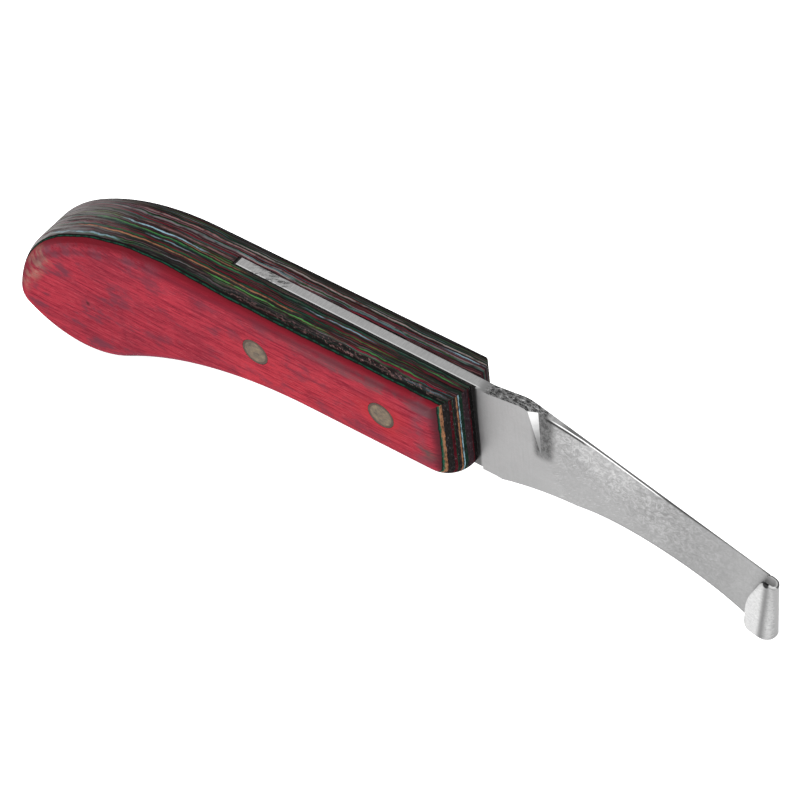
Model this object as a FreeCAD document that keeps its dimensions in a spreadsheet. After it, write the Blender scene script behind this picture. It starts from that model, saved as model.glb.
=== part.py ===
import FreeCAD, Part
import math
import os
import Sketcher
from FreeCAD import Placement, Rotation, Vector

# A drop-blade hoof knife: one forged blade with a rolled hook at its tip and a flat tang, let
# into a handle that is pressed from dyed veneers and held by two pairs of cutler's rivets.
#
# The pieces are drawn with X along the handle towards the hook, Y across the veneers and Z up,
# from the point where the top of the tang leaves the handle. The last step lays the finished
# knife on its butt and its hook and moves the origin to the middle of the footprint.

DOCUMENT = FreeCAD.newDocument("hook_knife")
SHEET = DOCUMENT.addObject("Spreadsheet::Sheet", "Sizes")

DIMENSIONS = {
    # Handle, seen from the side
    "handle_length": 132.0,
    "front_height": 27.6,
    "butt_depth": 46.9,
    "crown_start": 79.0,
    "crown_radius": 67.5,
    "heel_radius": 38.5,
    "pommel_radius": 6.0,
    "pommel_drop": 36.0,
    "belly_radius": 27.5,
    "hollow_radius": 108.0,
    "edge_round": 5.6,
    "nose_radius": 7.6,
    "nose_setback": 0.5,
    # Veneers, counted outwards from the middle of the handle
    "veneer_thick": 0.6,
    "face_thick": 1.3,
    "core_veneers": 6,
    "cheek_veneers": 11,
    # Slot for the tang, sawn a little askew
    "slot_end": 67.6,
    "slot_near_front": 1.55,
    "slot_near_end": 0.85,
    "slot_far_front": 1.82,
    "slot_far_end": 2.15,
    "bedding_recess": 0.35,
    # Cutler's rivets
    "front_rivet": 20.3,
    "rear_rivet": 55.6,
    "rivet_depth": 13.9,
    "rivet_head": 7.0,
    "rivet_head_thick": 1.0,
    "barrel_outer": 4.2,
    "barrel_bore": 2.8,
    "barrel_short": 1.5,
    "barrel_floor": 1.2,
    "rivet_gap": 0.08,
    # Tang and blade
    "blade_thick": 3.05,
    "tang_end": 66.7,
    "tang_near_front": 1.0,
    "tang_near_end": 0.3,
    "tang_far_end": 2.05,
    "tang_step": 0.5,
    "tang_height": 26.6,
    "neck_front": 4.0,
    "neck_dip": 0.3,
    "shoulder_front": 13.0,
    "shoulder_rise": 1.0,
    "shoulder_round": 7.0,
    "edge_drop": 17.9,
    "edge_front": 74.0,
    "back_apex": 30.0,
    "back_height": 22.9,
    "back_radius": 78.0,
    # Ground face of the blade
    "plunge_front": 14.4,
    "plunge_flare": 1.25,
    "plunge_lean": 0.218,
    "ground_start": 4.0,
    "ground_slope": 0.125,
    "tip_slope": 0.08,
    "spine_thick": 1.6,
    "edge_thick": 0.5,
    # Rolled hook
    "hook_front": 77.0,
    "hook_top_radius": 1.3,
    "hook_foot_radius": 2.55,
    "lobe_radius": 14.0,
    "lobe_end": 69.4,
    "lobe_shoulder": 4.4,
    "lobe_bend": 26.5,
    "lobe_bend_round": 12.0,
    "lobe_foot_round": 1.5,
    "lobe_top_rise": 0.3,
    "hook_top_fall": 1.1,
    "hook_top_round": 1.6,
    "hook_foot_round": 1.0,
    "roll_top": 16.5,
    "roll_foot": 35.5,
    "roll_top_thick": 0.4,
    "roll_foot_thick": 1.7,
    "hook_foot": 33.9,
    # How the knife rests
    "rest_pitch": 3.85,
}


RIVETS = ("front_rivet", "rear_rivet")

# Vertices of a line or an arc in a sketch
START, END, CENTRE = 1, 2, 3

# Closeness that counts as equal, and how far cutting tools reach past what they cut
NEAR = 1e-4
MARGIN = 5

# Sections of the grinding loft as shares of its length. The upper edge thins down over RUN_OUT.
GROUND_SHARES = (-0.15, 0.0, 0.1, 0.2, 0.35, 0.6, 1.05)
RUN_OUT = 0.28
GROUND_ABOVE = 4
GROUND_BELOW = 38

# How far the rolled tip runs back into the blade, and how far its outline stands off in front
ROOT_LAP = 1
CLEAR = 0.5

# Block that ends the grinding
STOP_LENGTH = 20
STOP_WIDTH = 80


class Size:
    """A length in millimetres, kept together with the sheet formula that gives it."""

    def __init__(self, value, formula=None):
        self.value = value
        self.formula = formula or repr(value)

    def __neg__(self):
        return Size(-self.value, f"(0 - {self.formula})")

    def __add__(self, other):
        other = as_size(other)
        return Size(self.value + other.value, f"({self.formula} + {other.formula})")

    def __sub__(self, other):
        other = as_size(other)
        return Size(self.value - other.value, f"({self.formula} - {other.formula})")

    def __mul__(self, other):
        other = as_size(other)
        return Size(self.value * other.value, f"({self.formula} * {other.formula})")

    def __truediv__(self, other):
        other = as_size(other)
        return Size(self.value / other.value, f"({self.formula} / {other.formula})")

    __radd__ = __add__
    __rmul__ = __mul__


def as_size(number):
    return number if isinstance(number, Size) else Size(number)


def fill_sheet():
    for row, (alias, value) in enumerate(DIMENSIONS.items(), start=1):
        SHEET.set(f"A{row}", alias.replace("_", " "))
        SHEET.set(f"B{row}", repr(value))
        SHEET.setAlias(f"B{row}", alias)
    DOCUMENT.recompute()


def size(alias):
    return Size(float(SHEET.get(alias)), f"Sizes.{alias}")


def bind(item, **sizes):
    """Set properties of a document object from sheet formulas."""
    for name, value in sizes.items():
        item.setExpression(name.replace("__", "."), as_size(value).formula)


def new_body(name):
    return DOCUMENT.addObject("PartDesign::Body", name)


def drawing(body, name, role, height=0):
    """A sketch on one of the body's own planes, raised above it by a height."""
    plane = next(item for item in body.Origin.OriginFeatures if item.Role == role)
    sketch = body.newObject("Sketcher::SketchObject", name)
    sketch.AttachmentSupport = [(plane, "")]
    sketch.MapMode = "FlatFace"
    bind(sketch, AttachmentOffset__Base__z=height)
    return sketch


def hold(sketch, element, vertex, across=None, along=None):
    """Hold a vertex of the sketch at sheet formulas, measured from its origin."""
    for kind, place in (("DistanceX", across), ("DistanceY", along)):
        if place is not None:
            length = as_size(place)
            held = Sketcher.Constraint(kind, -1, 1, element, vertex, length.value)
            sketch.setExpression(f"Constraints[{sketch.addConstraint(held)}]", length.formula)


def set_radius(sketch, element, radius):
    held = Sketcher.Constraint("Radius", element, radius.value)
    sketch.setExpression(f"Constraints[{sketch.addConstraint(held)}]", radius.formula)


def join(sketch, kind, first, first_end, second, second_end):
    sketch.addConstraint(Sketcher.Constraint(kind, first, first_end, second, second_end))


def flat(across, along):
    return Vector(as_size(across).value, as_size(along).value, 0)


def line(sketch, start, end):
    return sketch.addGeometry(Part.LineSegment(flat(*start), flat(*end)), False)


def arc(sketch, centre, radius, first_angle, last_angle):
    round_line = Part.Circle(Vector(*centre, 0), Vector(0, 0, 1), radius.value)
    limits = (math.radians(first_angle), math.radians(last_angle))
    element = sketch.addGeometry(Part.ArcOfCircle(round_line, *limits), False)
    set_radius(sketch, element, radius)
    return element


def circle(sketch, across, along, radius):
    round_line = Part.Circle(flat(across, along), Vector(0, 0, 1), radius.value)
    element = sketch.addGeometry(round_line, False)
    set_radius(sketch, element, radius)
    hold(sketch, element, CENTRE, across, along)


def polygon(sketch, corners):
    """A closed outline of straight lines through corners held at sheet formulas."""
    sides = [line(sketch, *ends) for ends in zip(corners, corners[1:] + corners[:1])]
    for side, corner in zip(sides, corners):
        hold(sketch, side, START, *corner)
    for side, following in zip(sides, sides[1:] + sides[:1]):
        join(sketch, "Coincident", side, END, following, START)


def feature(body, kind, name, profile, **sizes):
    """A PartDesign feature made from a sketch, or from a list of sections."""
    made = body.newObject(f"PartDesign::{kind}", name)
    if isinstance(profile, list):
        made.Profile = profile[0]
        made.Sections = profile[1:]
    else:
        made.Profile = profile
    bind(made, **sizes)
    return made


def pad(body, name, sketch, length):
    made = feature(body, "Pad", name, sketch, Length=length)
    made.Midplane = True
    return made


def cut_through(body, name, sketch, width=None):
    """A pocket through the whole body, or over a width with the sketch in its middle."""
    volume = volume_so_far(body)
    made = feature(body, "Pocket", name, sketch)
    made.Midplane = True
    if width is None:
        made.Type = "ThroughAll"
    else:
        bind(made, Length=width)
    must_be_less(made, volume)


def cut_round(body, name, sketch, clockwise):
    """A quarter turn of a sketch about its own construction line, taken from the body."""
    volume = volume_so_far(body)
    made = feature(body, "Groove", name, sketch)
    made.ReferenceAxis = (sketch, ["Axis0"])
    made.Angle = 90
    made.Reversed = clockwise
    must_be_less(made, volume)


def volume_so_far(body):
    DOCUMENT.recompute()
    return body.Tip.Shape.Volume


def must_be_less(made, volume):
    DOCUMENT.recompute()
    if made.Shape.Volume >= volume:
        raise RuntimeError(f"{made.Name} removes nothing")


def round_edges(body, name, radius, wanted):
    """Round every edge of the body for which wanted(edge) holds."""
    DOCUMENT.recompute()
    base = body.Tip
    edges = [f"Edge{n}" for n, edge in enumerate(base.Shape.Edges, start=1) if wanted(edge)]
    made = body.newObject("PartDesign::Fillet", name)
    made.Base = (base, edges)
    bind(made, Radius=radius)


def crosswise_at(across, up):
    """A test for the edge that runs along Y through the given side-view corner."""
    corner = (as_size(across).value, as_size(up).value)

    def wanted(edge):
        extent = edge.BoundBox
        runs_across = extent.YLength > 1 and max(extent.XLength, extent.ZLength) < NEAR
        return runs_across and math.dist(corner, (extent.XMin, extent.ZMin)) < NEAR

    return wanted


def box(name, **sizes):
    made = DOCUMENT.addObject("Part::Box", name)
    bind(made, **sizes)
    return made


def combine(kind, name, base, tool):
    made = DOCUMENT.addObject(f"Part::{kind}", name)
    made.Base = base
    made.Tool = tool
    return made


def fuse(name, shapes):
    made = DOCUMENT.addObject("Part::MultiFuse", name)
    made.Shapes = shapes
    return made


def handle_thickness():
    veneers = size("core_veneers") + 2 * size("cheek_veneers")
    return veneers * size("veneer_thick") + 2 * size("face_thick")


def handle_block():
    """The pressed block: its side outline is one line and five arcs, then its edges are rounded."""
    length, depth, height = size("handle_length"), size("butt_depth"), size("front_height")
    crown, heel, pommel = size("crown_radius"), size("heel_radius"), size("pommel_radius")
    belly, hollow, start = size("belly_radius"), size("hollow_radius"), size("crown_start")
    drop = size("pommel_drop")

    # Each arc touches the next one, which places its centre.
    crown_at = (-start.value, -crown.value)
    pommel_at = (pommel.value - length.value, -drop.value)
    heel_at = third_corner(crown_at, crown.value - heel.value, pommel_at, heel.value - pommel.value)
    belly_z = belly.value - depth.value
    belly_at = (beside(pommel_at, belly.value - pommel.value, belly_z), belly_z)
    hollow_z = -(height + hollow).value
    hollow_at = (beside(belly_at, belly.value + hollow.value, hollow_z), hollow_z)
    crown_end = bearing(crown_at, heel_at)
    heel_end = bearing(heel_at, pommel_at)
    pommel_end = 360 + bearing(belly_at, pommel_at)
    belly_end = 360 + bearing(belly_at, hollow_at)

    body = new_body("handle_block")
    side = drawing(body, "handle_side", "XZ_Plane")
    top = line(side, (0, 0), (-start, 0))
    crown_arc = arc(side, crown_at, crown, 90, crown_end)
    heel_arc = arc(side, heel_at, heel, crown_end, heel_end)
    pommel_arc = arc(side, pommel_at, pommel, heel_end, pommel_end)
    belly_arc = arc(side, belly_at, belly, pommel_end, belly_end)
    hollow_arc = arc(side, hollow_at, hollow, 90, belly_end - 180)
    bottom = line(side, (hollow_at[0], -height), (0, -height))
    front = line(side, (0, -height), (0, 0))

    hold(side, top, START, 0, 0)
    hold(side, top, END, -start, 0)
    join(side, "Tangent", top, END, crown_arc, START)
    join(side, "Tangent", crown_arc, END, heel_arc, START)
    join(side, "Tangent", heel_arc, END, pommel_arc, START)
    join(side, "Tangent", pommel_arc, END, belly_arc, START)
    join(side, "Tangent", belly_arc, END, hollow_arc, END)
    join(side, "Tangent", hollow_arc, START, bottom, START)
    join(side, "Coincident", bottom, END, front, START)
    join(side, "Coincident", front, END, top, START)
    hold(side, pommel_arc, CENTRE, pommel - length, -drop)
    hold(side, belly_arc, CENTRE, None, belly - depth)
    hold(side, bottom, START, None, -height)
    hold(side, front, START, 0, -height)

    pad(body, "block", side, handle_thickness())
    face = (handle_thickness() / 2).value
    round_edges(body, "long_rounds", size("edge_round"), lambda edge: borders_side(edge, face))
    round_nose(body)
    return body


def third_corner(first, first_reach, second, second_reach):
    """The corner above the line between two others, from its distances to them."""
    apart = math.dist(first, second)
    along = (first_reach**2 - second_reach**2 + apart**2) / (2 * apart)
    above = math.sqrt(first_reach**2 - along**2)
    turn = math.atan2(second[1] - first[1], second[0] - first[0])
    return (
        first[0] + along * math.cos(turn) + above * math.sin(turn),
        first[1] + along * math.sin(turn) - above * math.cos(turn),
    )


def beside(centre, reach, height):
    """How far across the point lies that is a distance from a centre, at a height."""
    return centre[0] + math.sqrt(reach**2 - (height - centre[1]) ** 2)


def bearing(start, end):
    return math.degrees(math.atan2(end[1] - start[1], end[0] - start[0]))


def borders_side(edge, face):
    """True for an edge round one of the flat sides, apart from the upright one at the front."""
    extent = edge.BoundBox
    on_side = extent.YLength < NEAR and abs(abs(extent.YMin) - face) < NEAR
    return on_side and extent.XMin < -NEAR


def round_nose(body):
    """The front end: its upright corners and its lower edge are rounded, its upper edge is not."""
    radius = size("nose_radius")
    axis = handle_thickness() / 2 - radius
    axis_x = -(radius + size("nose_setback"))
    middle = drawing(body, "nose_middle", "XZ_Plane")
    nose_profile(middle, axis_x, 1)
    cut_through(body, "nose_front", middle, 2 * axis)
    for name, side in (("near_nose", -1), ("far_nose", 1)):
        corner = drawing(body, f"{name}_section", "YZ_Plane", axis_x)
        nose_profile(corner, side * axis, side)
        upright = corner.addGeometry(
            Part.LineSegment(flat(side * axis, -1), flat(side * axis, 1)), True
        )
        hold(corner, upright, START, side * axis, -1)
        hold(corner, upright, END, side * axis, 1)
        cut_round(body, name, corner, side > 0)


def nose_profile(sketch, axis, side):
    """What lies outside the rounded nose, measured outwards from an upright axis."""
    radius, turn = size("nose_radius"), size("edge_round")
    top, foot = as_size(MARGIN), -size("front_height")
    inner, outer = axis + side * (radius - turn), axis + side * radius
    reach = axis + side * (radius + 2 * MARGIN)
    corners = [(outer, foot + turn), (outer, top), (reach, top), (reach, foot - MARGIN)]
    corners += [(inner, foot - MARGIN), (inner, foot)]
    sides = [line(sketch, *ends) for ends in zip(corners, corners[1:])]
    angles = (-90, 0) if side > 0 else (180, 270)
    curve = arc(sketch, (inner.value, (foot + turn).value), turn, *angles)
    below, beside = (START, END) if side > 0 else (END, START)
    for element, corner in zip(sides, corners):
        hold(sketch, element, START, *corner)
    for element, following in zip(sides, sides[1:]):
        join(sketch, "Coincident", element, END, following, START)
    join(sketch, "Coincident", sides[-1], END, curve, below)
    join(sketch, "Coincident", sides[0], START, curve, beside)
    hold(sketch, curve, below, inner, foot)


def slot_tool():
    """The saw cut for the tang, which runs towards the far side from the front to its end."""
    end = size("slot_end")
    body = new_body("slot")
    above = drawing(body, "slot_walls", "XY_Plane")
    polygon(
        above,
        [
            (-end, size("slot_far_end")),
            (0, size("slot_far_front")),
            (MARGIN, size("slot_far_front")),
            (MARGIN, -size("slot_near_front")),
            (0, -size("slot_near_front")),
            (-end, -size("slot_near_end")),
        ],
    )
    pad(body, "slot_cut", above, 2 * (size("butt_depth") + MARGIN))
    return body


def bore(name, rivet, radius, start, end):
    """A cylinder along Y on a rivet's axis, from start to end."""
    made = DOCUMENT.addObject("Part::Cylinder", name)
    made.Placement = Placement(Vector(0, 0, 0), Rotation(Vector(1, 0, 0), -90))
    bind(made, Radius=radius, Height=end - start)
    bind(made, Placement__Base__x=-size(rivet), Placement__Base__z=-size("rivet_depth"))
    bind(made, Placement__Base__y=start)
    return made


def bores_tool():
    """Holes through the handle for the rivets, with a shallow seat for each head."""
    half = handle_thickness() / 2
    gap = size("rivet_gap")
    seat = size("rivet_head") / 2 + gap
    barrel = size("barrel_outer") / 2 + gap
    thick = size("rivet_head_thick")
    cylinders = []
    for rivet in RIVETS:
        cylinders.append(bore(f"{rivet}_hole", rivet, barrel, -half - MARGIN, half + MARGIN))
        cylinders.append(bore(f"{rivet}_near_seat", rivet, seat, -half - MARGIN, thick - half))
        cylinders.append(bore(f"{rivet}_far_seat", rivet, seat, half - thick, half + MARGIN))
    return fuse("rivet_bores", cylinders)


def veneer(name, block, tool, start, thick):
    """One sheet of the lay-up: the part of the block between two planes, less the openings."""
    sheet = box(
        f"{name}_sheet",
        Length=size("handle_length") + 2 * MARGIN,
        Width=thick,
        Height=size("butt_depth") + 2 * MARGIN,
        Placement__Base__x=-(size("handle_length") + MARGIN),
        Placement__Base__y=start,
        Placement__Base__z=-(size("butt_depth") + MARGIN),
    )
    return combine("Cut", name, combine("Common", f"{name}_blank", block, sheet), tool)


def veneers(block, slot, bores):
    """The whole lay-up, from the near face to the far face."""
    cheeks, core = int(size("cheek_veneers").value), int(size("core_veneers").value)
    thick, face = size("veneer_thick"), size("face_thick")
    near_side = face - handle_thickness() / 2
    layers = [f"near_cheek_veneer_{n:02d}" for n in range(1, cheeks + 1)]
    layers += [f"core_veneer_{n}" for n in range(1, core + 1)]
    layers += [f"far_cheek_veneer_{n:02d}" for n in range(cheeks, 0, -1)]
    openings = fuse("slot_and_bores", [slot, bores])
    sheets = [veneer("near_face_veneer", block, bores, near_side - face, face)]
    for number, name in enumerate(layers):
        sheets.append(veneer(name, block, openings, near_side + number * thick, thick))
    sheets.append(veneer("far_face_veneer", block, bores, -near_side, face))
    return sheets


def blade_blank():
    """The flat blank: tang and blade in one outline, with its back hollowed by a large arc."""
    neck, tang, height = size("neck_front"), size("tang_end"), size("tang_height")
    apex, radius = size("back_apex"), size("back_radius")
    body = new_body("blade_blank")
    side = drawing(body, "blade_side", "XZ_Plane")
    shoulder = (size("shoulder_front"), size("shoulder_rise"))
    polygon(
        side,
        [
            (-tang, 0),
            (neck, -size("neck_dip")),
            shoulder,
            (size("edge_front"), -size("edge_drop")),
            (size("edge_front"), -size("hook_foot")),
            (neck, -height),
            (-tang, -height),
        ],
    )
    pad(body, "blank", side, handle_thickness())
    for name, corners in (("near", near_side_of_blade()), ("far", far_side_of_blade())):
        above = drawing(body, f"{name}_side", "XY_Plane")
        polygon(above, corners)
        cut_through(body, f"{name}_side_cut", above)
    back = drawing(body, "back_arc", "XZ_Plane")
    circle(back, apex, -(size("back_height") + radius), radius)
    cut_through(body, "hollow_back", back)
    holes = drawing(body, "tang_holes", "XZ_Plane")
    hole_radius = size("barrel_outer") / 2 + size("rivet_gap")
    for rivet in RIVETS:
        circle(holes, -size(rivet), -size("rivet_depth"), hole_radius)
    cut_through(body, "rivet_holes", holes)
    round_edges(body, "shoulder", size("shoulder_round"), crosswise_at(*shoulder))
    return body


def near_side_of_blade():
    """What lies on the near side of the blade and, behind a small step, of the thinner tang."""
    front, end, step = size("edge_front") + MARGIN, -size("tang_end"), size("tang_step")
    face, outside = -size("blade_thick") / 2, -handle_thickness()
    corners = [(front, face), (step, face), (step, -size("tang_near_front"))]
    corners += [(end, -size("tang_near_end")), (end - MARGIN, -size("tang_near_end"))]
    return corners + [(end - MARGIN, outside), (front, outside)]


def far_side_of_blade():
    """What lies on the far side of the blade and of the tang, which slants to that side."""
    front, end, tang_face = size("edge_front") + MARGIN, -size("tang_end"), size("tang_far_end")
    face, outside = size("blade_thick") / 2, handle_thickness()
    corners = [(front, face), (0, face), (end, tang_face), (end - MARGIN, tang_face)]
    return corners + [(end - MARGIN, outside), (front, outside)]


def ground_void():
    """What grinding takes from the near face: a loft that leaves a thin upper edge."""
    far = size("blade_thick") / 2
    near = -far - MARGIN
    shoulder, tip = size("shoulder_front"), size("edge_front")
    rise, drop = size("shoulder_rise"), size("edge_drop")
    spine, edge = size("spine_thick"), size("edge_thick")
    start = shoulder + size("ground_start")
    body = new_body("ground_void")
    sections = []
    for share in GROUND_SHARES:
        front = start + share * (tip - start)
        fall = (front - shoulder) / (tip - shoulder)
        edge_height = rise - fall * (rise + drop)
        thinning = max(0.0, 1 - share / RUN_OUT) ** 2
        floor = far - edge - thinning * (spine - edge)
        slope = size("ground_slope") - max(share, 0) * (size("ground_slope") - size("tip_slope"))
        top, foot = edge_height + GROUND_ABOVE, edge_height - GROUND_BELOW
        section = drawing(body, f"ground_{len(sections)}", "YZ_Plane", front)
        polygon(
            section,
            [
                (floor + GROUND_ABOVE * slope, top),
                (floor - GROUND_BELOW * slope, foot),
                (near, foot),
                (near, top),
            ],
        )
        sections.append(section)
    feature(body, "AdditiveLoft", "ground_loft", sections)
    return body


def plunge_stop():
    """Grinding ends at this block, whose sloping front face becomes the step in the near face."""
    deep = Vector(1, -size("plunge_flare").value, size("plunge_lean").value)
    stop = box("plunge_stop", Length=STOP_LENGTH, Width=STOP_WIDTH, Height=STOP_WIDTH)
    turn = Rotation(Vector(1, 0, 0), deep)
    step_top = [size("plunge_front"), -size("blade_thick") / 2, size("shoulder_rise")]
    middle = turn.multVec(Vector(STOP_LENGTH, STOP_WIDTH / 2, STOP_WIDTH / 2))
    stop.Placement = Placement(Vector(*[along.value for along in step_top]) - middle, turn)
    return stop


def roll_section(body, number, height, radius, thick):
    """The hook from above: a flat, a half turn and a lobe that curls back to a thin edge."""
    far = size("blade_thick") / 2
    centre_x, centre_y = size("hook_front") - radius, far - radius
    near_y = far - 2 * radius
    lobe = size("lobe_radius")
    inside, lobe_inside = radius - thick, lobe - thick
    flat_start = size("lobe_end") - ROOT_LAP
    sweep = math.degrees(math.asin((centre_x.value - size("lobe_end").value) / lobe.value))
    section = drawing(body, f"roll_{number}", "XY_Plane", height)
    centre = (centre_x.value, centre_y.value)
    lobe_centre = (centre_x.value, near_y.value + lobe.value)
    outer_flat = line(section, (flat_start, far), (centre_x, far))
    outer_turn = arc(section, centre, radius, -90, 90)
    outer_lobe = arc(section, lobe_centre, lobe, -90 - sweep, -90)
    inner_turn = arc(section, centre, inside, -90, 90)
    inner_lobe = arc(section, lobe_centre, lobe_inside, -90 - sweep, -90)
    inner_flat = line(section, (flat_start, far - thick), (centre_x, far - thick))
    root = line(section, (flat_start, far), (flat_start, far - thick))
    outer_end = section.getPoint(outer_lobe, START)
    inner_end = section.getPoint(inner_lobe, START)
    tip = section.addGeometry(Part.LineSegment(outer_end, inner_end), False)
    join(section, "Tangent", outer_flat, END, outer_turn, END)
    join(section, "Tangent", outer_turn, START, outer_lobe, END)
    join(section, "Tangent", inner_flat, END, inner_turn, END)
    join(section, "Tangent", inner_turn, START, inner_lobe, END)
    join(section, "Coincident", outer_flat, START, root, START)
    join(section, "Coincident", inner_flat, START, root, END)
    join(section, "Coincident", outer_lobe, START, tip, START)
    join(section, "Coincident", inner_lobe, START, tip, END)
    hold(section, outer_turn, CENTRE, centre_x, centre_y)
    hold(section, inner_turn, CENTRE, centre_x, centre_y)
    hold(section, outer_flat, START, flat_start, far)
    hold(section, inner_flat, START, flat_start)
    hold(section, outer_turn, START, centre_x)
    hold(section, inner_turn, START, centre_x)
    hold(section, outer_lobe, START, size("lobe_end"))
    hold(section, inner_lobe, START, size("lobe_end"))
    return section


def hook_roll():
    """The tip of the blade rolled towards the near side, tighter at the top than at the foot."""
    body = new_body("hook_roll")
    top = roll_section(body, 1, -size("roll_top"), size("hook_top_radius"), size("roll_top_thick"))
    foot = roll_section(
        body, 2, -size("roll_foot"), size("hook_foot_radius"), size("roll_foot_thick")
    )
    feature(body, "AdditiveLoft", "roll_loft", [top, foot])
    return body


def hook_outline():
    """The side outline to which the rolled tip is trimmed."""
    front, foot, end = size("hook_front") + CLEAR, -size("hook_foot"), size("lobe_end")
    top = -size("edge_drop")
    body = new_body("hook_outline")
    side = drawing(body, "hook_side", "XZ_Plane")
    corners = {
        "lobe_bend": (end, -size("lobe_bend")),
        "lobe_foot": (end, foot),
        "hook_foot": (front, foot),
        "hook_top": (front, top - size("hook_top_fall")),
        "lobe_top": (end + size("lobe_shoulder"), top + size("lobe_top_rise")),
    }
    polygon(side, list(corners.values()))
    pad(body, "hook_prism", side, 2 * handle_thickness())
    for name, corner in corners.items():
        radius = size("hook_top_round" if name == "lobe_top" else f"{name}_round")
        round_edges(body, f"{name}_rounded", radius, crosswise_at(*corner))
    return body


def blade():
    blank = blade_blank()
    ground = combine("Cut", "ground_away", ground_void(), plunge_stop())
    plate = combine("Cut", "blade_plate", blank, ground)
    hook = combine("Common", "hook", hook_roll(), hook_outline())
    made = fuse("blade", [plate, hook])
    made.Refine = True
    return made, plate


def bedding(block, slot, plate, bores):
    """Black filler that holds the tang in its slot, a little below the surface all round."""
    width = handle_thickness()
    recess = size("bedding_recess")
    filled = box(
        "slot_fill",
        Length=size("slot_end") - recess,
        Width=width,
        Height=size("butt_depth"),
        Placement__Base__x=-size("slot_end"),
        Placement__Base__y=-width / 2,
        Placement__Base__z=-(size("butt_depth") + recess),
    )
    space = combine("Common", "slot_space", block, slot)
    inside = combine("Common", "slot_fill_inside", space, filled)
    around = combine("Cut", "slot_fill_around", inside, plate)
    return combine("Cut", "tang_bedding", around, bores)


def rivet_half(name, rivet, outline):
    """One turned half of a rivet, about an axis along Y."""
    body = new_body(name)
    half = drawing(body, f"{name}_half", "XY_Plane", -size("rivet_depth"))
    axis_x = -size(rivet)
    polygon(half, [(axis_x + radius, along) for radius, along in outline])
    axis = half.addGeometry(Part.LineSegment(flat(axis_x, -1), flat(axis_x, 1)), True)
    hold(half, axis, START, axis_x, -1)
    hold(half, axis, END, axis_x, 1)
    turned = body.newObject("PartDesign::Revolution", f"{name}_turned")
    turned.Profile = half
    turned.ReferenceAxis = (half, ["Axis0"])
    turned.Angle = 360
    return body


def rivets():
    """Two compression rivets: a tubular half on the near side, a solid half on the far side."""
    half = handle_thickness() / 2
    head, thick = size("rivet_head") / 2, size("rivet_head_thick")
    barrel, hole = size("barrel_outer") / 2, size("barrel_bore") / 2
    mouth = half - thick - size("barrel_short")
    floor = thick + size("barrel_floor") - half
    tube = [(0, -half), (head, -half), (head, thick - half), (barrel, thick - half)]
    tube += [(barrel, mouth), (hole, mouth), (hole, floor), (0, floor)]
    tip = floor + size("barrel_floor")
    pin = [(0, half), (head, half), (head, half - thick)]
    pin += [(hole, half - thick), (hole, tip), (0, tip)]
    made = []
    for rivet in RIVETS:
        made.append(rivet_half(f"{rivet}_tube", rivet, tube))
        made.append(rivet_half(f"{rivet}_pin", rivet, pin))
    return made


def rest_placement(pieces):
    """Turn the knife nose down until butt and hook touch the ground, under its middle."""
    turn = Rotation(Vector(0, 1, 0), size("rest_pitch").value)
    turned = Part.makeCompound([piece.Shape for piece in pieces])
    turned.Placement = Placement(Vector(0, 0, 0), turn)
    extent = turned.optimalBoundingBox(False, False)
    return Placement(Vector(-extent.Center.x, -extent.Center.y, -extent.ZMin), turn)


def check(pieces):
    for item in DOCUMENT.Objects:
        if "Invalid" in item.State or "Error" in item.State:
            raise RuntimeError(f"{item.Name} failed: {item.State}")
    for piece in pieces:
        if piece.Shape.isNull() or not piece.Shape.isValid():
            raise RuntimeError(f"{piece.Label} has no valid shape")


def main():
    fill_sheet()
    block, slot, bores = handle_block(), slot_tool(), bores_tool()
    steel, plate = blade()
    pieces = [steel, bedding(block, slot, plate, bores)] + veneers(block, slot, bores) + rivets()
    DOCUMENT.recompute()
    check(pieces)
    placement = rest_placement(pieces)
    for piece in pieces:
        piece.Placement = placement
        piece.Label = piece.Name
    DOCUMENT.recompute()
    check(pieces)
    os.makedirs("parts", exist_ok=True)
    for piece in pieces:
        piece.Shape.exportStep(f"parts/{piece.Label}.step")
        print(piece.Label, len(piece.Shape.Solids), round(piece.Shape.Volume, 1))


main()
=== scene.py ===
import math

import bpy
from mathutils import Matrix, Vector


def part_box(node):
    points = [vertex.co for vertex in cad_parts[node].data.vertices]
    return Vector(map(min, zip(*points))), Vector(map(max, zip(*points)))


# A hoof knife with a laminated, red-faced handle and a satin steel blade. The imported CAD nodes
# carry the whole shape, and this script gives them their surfaces, the light and the camera.

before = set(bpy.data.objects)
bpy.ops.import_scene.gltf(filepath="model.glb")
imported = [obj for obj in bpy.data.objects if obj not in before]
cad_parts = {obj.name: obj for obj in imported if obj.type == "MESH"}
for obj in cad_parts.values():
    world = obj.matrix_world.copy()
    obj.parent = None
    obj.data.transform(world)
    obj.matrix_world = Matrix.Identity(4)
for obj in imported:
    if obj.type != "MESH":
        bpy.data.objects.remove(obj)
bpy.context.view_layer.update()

MM = 0.001


# ---------------------------------------------------------------- the knife's own frame
# In mm: x runs towards the hook from the point where the top of the tang leaves the handle, y
# from the red side through the handle, and z up. The masks below give their places in this
# frame, and compare the parts of the surface's normal, which go from -1 to 1.
RIVET_X = (-20.3, -55.6)
RIVET_Z = -13.9
ARC_X, ARC_Z, ARC_RADIUS = 30.0, -100.9, 78.0        # the blade's hollow lower side
ROLL_TOP = (75.7, 0.225, -16.5)                      # top of the axis of the rolled hook
ROLL_LEAN = 0.066                                    # its growth in x and in y with height

# Depth in mm of the relief that the bump gives each material
WOOD_RELIEF, METAL_RELIEF, BEDDING_RELIEF, FLOOR_RELIEF = 0.05, 0.02, 0.08, 0.01


def middle(node):
    low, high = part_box(node)
    return (Vector(low) + Vector(high)) / 2


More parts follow.
